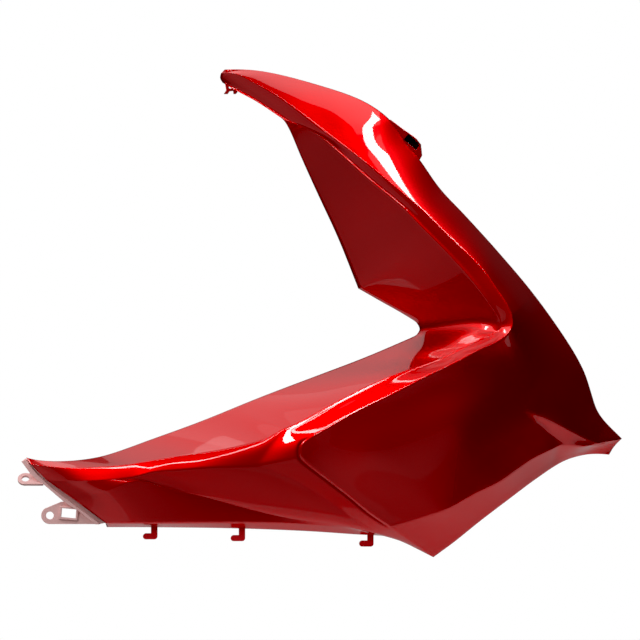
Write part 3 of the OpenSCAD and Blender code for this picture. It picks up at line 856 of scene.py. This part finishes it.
# The black of the pocket floor is painted shade.
for piece, coat in coats.items():
    piece.data.materials.clear()
    piece.data.materials.append(coat)
pieces = [shell, hooks, *coats]
for piece in pieces:
    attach(piece, "root")
    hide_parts("side_panel")
print(len(pieces), "pieces on the frame")

# %% [markdown]
# The studio
#
# Paint this glossy shows what stands round it more than its own colour. In the photo hard white
# patches lie in bright red that falls off to almost black, which narrow strong lamps in a dark
# room give: the clear coat mirrors the lamp itself, and the metallic base glows round it. Wide
# weak lamps add the pale veil of the surfaces that look up or back. The real lamps aren't known,
# so their places and strengths here are guesses, tried out until the tones came close.

# %% Soft boxes
middle, lamp_distance, fill_distance = Vector((0.3, 0, 0.22)), 3.2, 2.6


def bank(name, turn, rise, width, height, brightness, away=lamp_distance, spread=180):
    """A soft box that the panel sees so many degrees right of the camera and up, and so many
    degrees wide and high."""
    turn, rise = math.radians(turn), math.radians(rise)
    way = Vector((math.sin(turn) * math.cos(rise), -math.cos(turn) * math.cos(rise),
                  math.sin(rise)))
    light = bpy.data.lights.new(name, "AREA")
    light.shape = "RECTANGLE"
    light.size, light.size_y = (2 * away * math.tan(math.radians(angle / 2))
                                for angle in (width, height))
    light.energy = brightness * math.pi * light.size * light.size_y
    light.spread = math.radians(spread)
    lamp = bpy.data.objects.new(name, light)
    bpy.context.scene.collection.objects.link(lamp)
    lamp.location = middle + way * away
    lamp.rotation_euler = (-way).to_track_quat("-Z", "Y").to_euler()
    lamp.visible_camera = False


bank("key_strip", 90, 54, 30, 6, 15.0)
bank("back_ceiling", 150, 68, 60, 26, 0.32, spread=90)
bank("top_strip", 0, 58, 80, 3, 8.0)
bank("crest_strip", 25, 42, 36, 4, 11.0)
bank("left_box", -72, 28, 24, 28, 1.2)
bank("left_line", -30, 27, 36, 2.6, 12.0)
bank("left_strip", -78, 30, 5, 14, 16.0)
bank("left_ceiling", -80, 35, 44, 44, 0.12, spread=90)
bank("left_window", -40, 20, 6, 9, 20.0)
bank("rear_box", -138, 50, 48, 44, 0.17, spread=90)
bank("rear_ceiling", -110, 60, 40, 40, 0.1, spread=90)
bank("front_fill", -20, -10, 110, 80, 0.035, fill_distance, spread=120)
bank("low_fill", -20, -55, 60, 50, 0.05, fill_distance, spread=90)
bank("low_left", -60, -35, 40, 40, 0.07, spread=90)

# %% Paper under the panel
paper_x, paper_y, paper_z = (-0.05, 0.95), (-0.12, 1.2), -0.21
floor = new_piece("floor", [(paper_x[i], paper_y[j], paper_z)
                            for i, j in ((0, 0), (1, 0), (1, 1), (0, 1))], [(0, 1, 2, 3)])
floor.data.materials.append(material("pale_floor", (0.62, 0.62, 0.62), 0.9))
print("paper", paper_x[1] - paper_x[0], "m long")

# %% A white backdrop that the gloss doesn't see
backdrop, room_light, black = 1.0, 0.05, 0.012
world = bpy.data.worlds.new("studio")
bpy.context.scene.world = world
world.use_nodes = True
room = world.node_tree
seen, glow = room.nodes["Background"], room.nodes.new("ShaderNodeBackground")
for background, strength in ((seen, backdrop), (glow, room_light)):
    background.inputs["Color"].default_value = (1, 1, 1, 1)
    background.inputs["Strength"].default_value = strength
rays = room.nodes.new("ShaderNodeLightPath")
pick = room.nodes.new("ShaderNodeMixShader")
room.links.new(glow.outputs[0], pick.inputs[1])
room.links.new(seen.outputs[0], pick.inputs[2])
room.links.new(rays.outputs["Is Camera Ray"], pick.inputs["Fac"])
room.links.new(pick.outputs[0], room.nodes["World Output"].inputs["Surface"])
view = bpy.context.scene.view_settings
view.view_transform = "Standard"
view.use_curve_mapping = True
view.curve_mapping.black_level = (black, black, black)
print("the room glows with", room_light, "and the backdrop with", backdrop)

# %% [markdown]
# The camera
#
# The photo shows the panel from the side with hardly any perspective, so the camera stands far
# off with a long lens. A pixel is 1.1 mm at the panel, and the lower screw hole, which is zero
# forward and up, lies at its own pixel.

# %% Camera
photo_scale, photo_size = 1.1 * MM, 640
hole_px, hole_py = 48.4, 516.5
centre_x = (photo_size / 2 - hole_px) * photo_scale
centre_z = (hole_py - photo_size / 2) * photo_scale
sharp_at = 0.03
camera_data = bpy.data.cameras.new("camera")
camera_data.sensor_width, camera_data.lens = 36, 300
distance = photo_size * photo_scale * camera_data.lens / camera_data.sensor_width
camera = bpy.data.objects.new("camera", camera_data)
bpy.context.scene.collection.objects.link(camera)
camera.location = (centre_x, -distance - sharp_at, centre_z)
camera.rotation_euler = (math.radians(90), 0, 0)
camera_data.clip_end = 100
bpy.context.scene.camera = camera
print("camera", round(distance, 2), "m away")
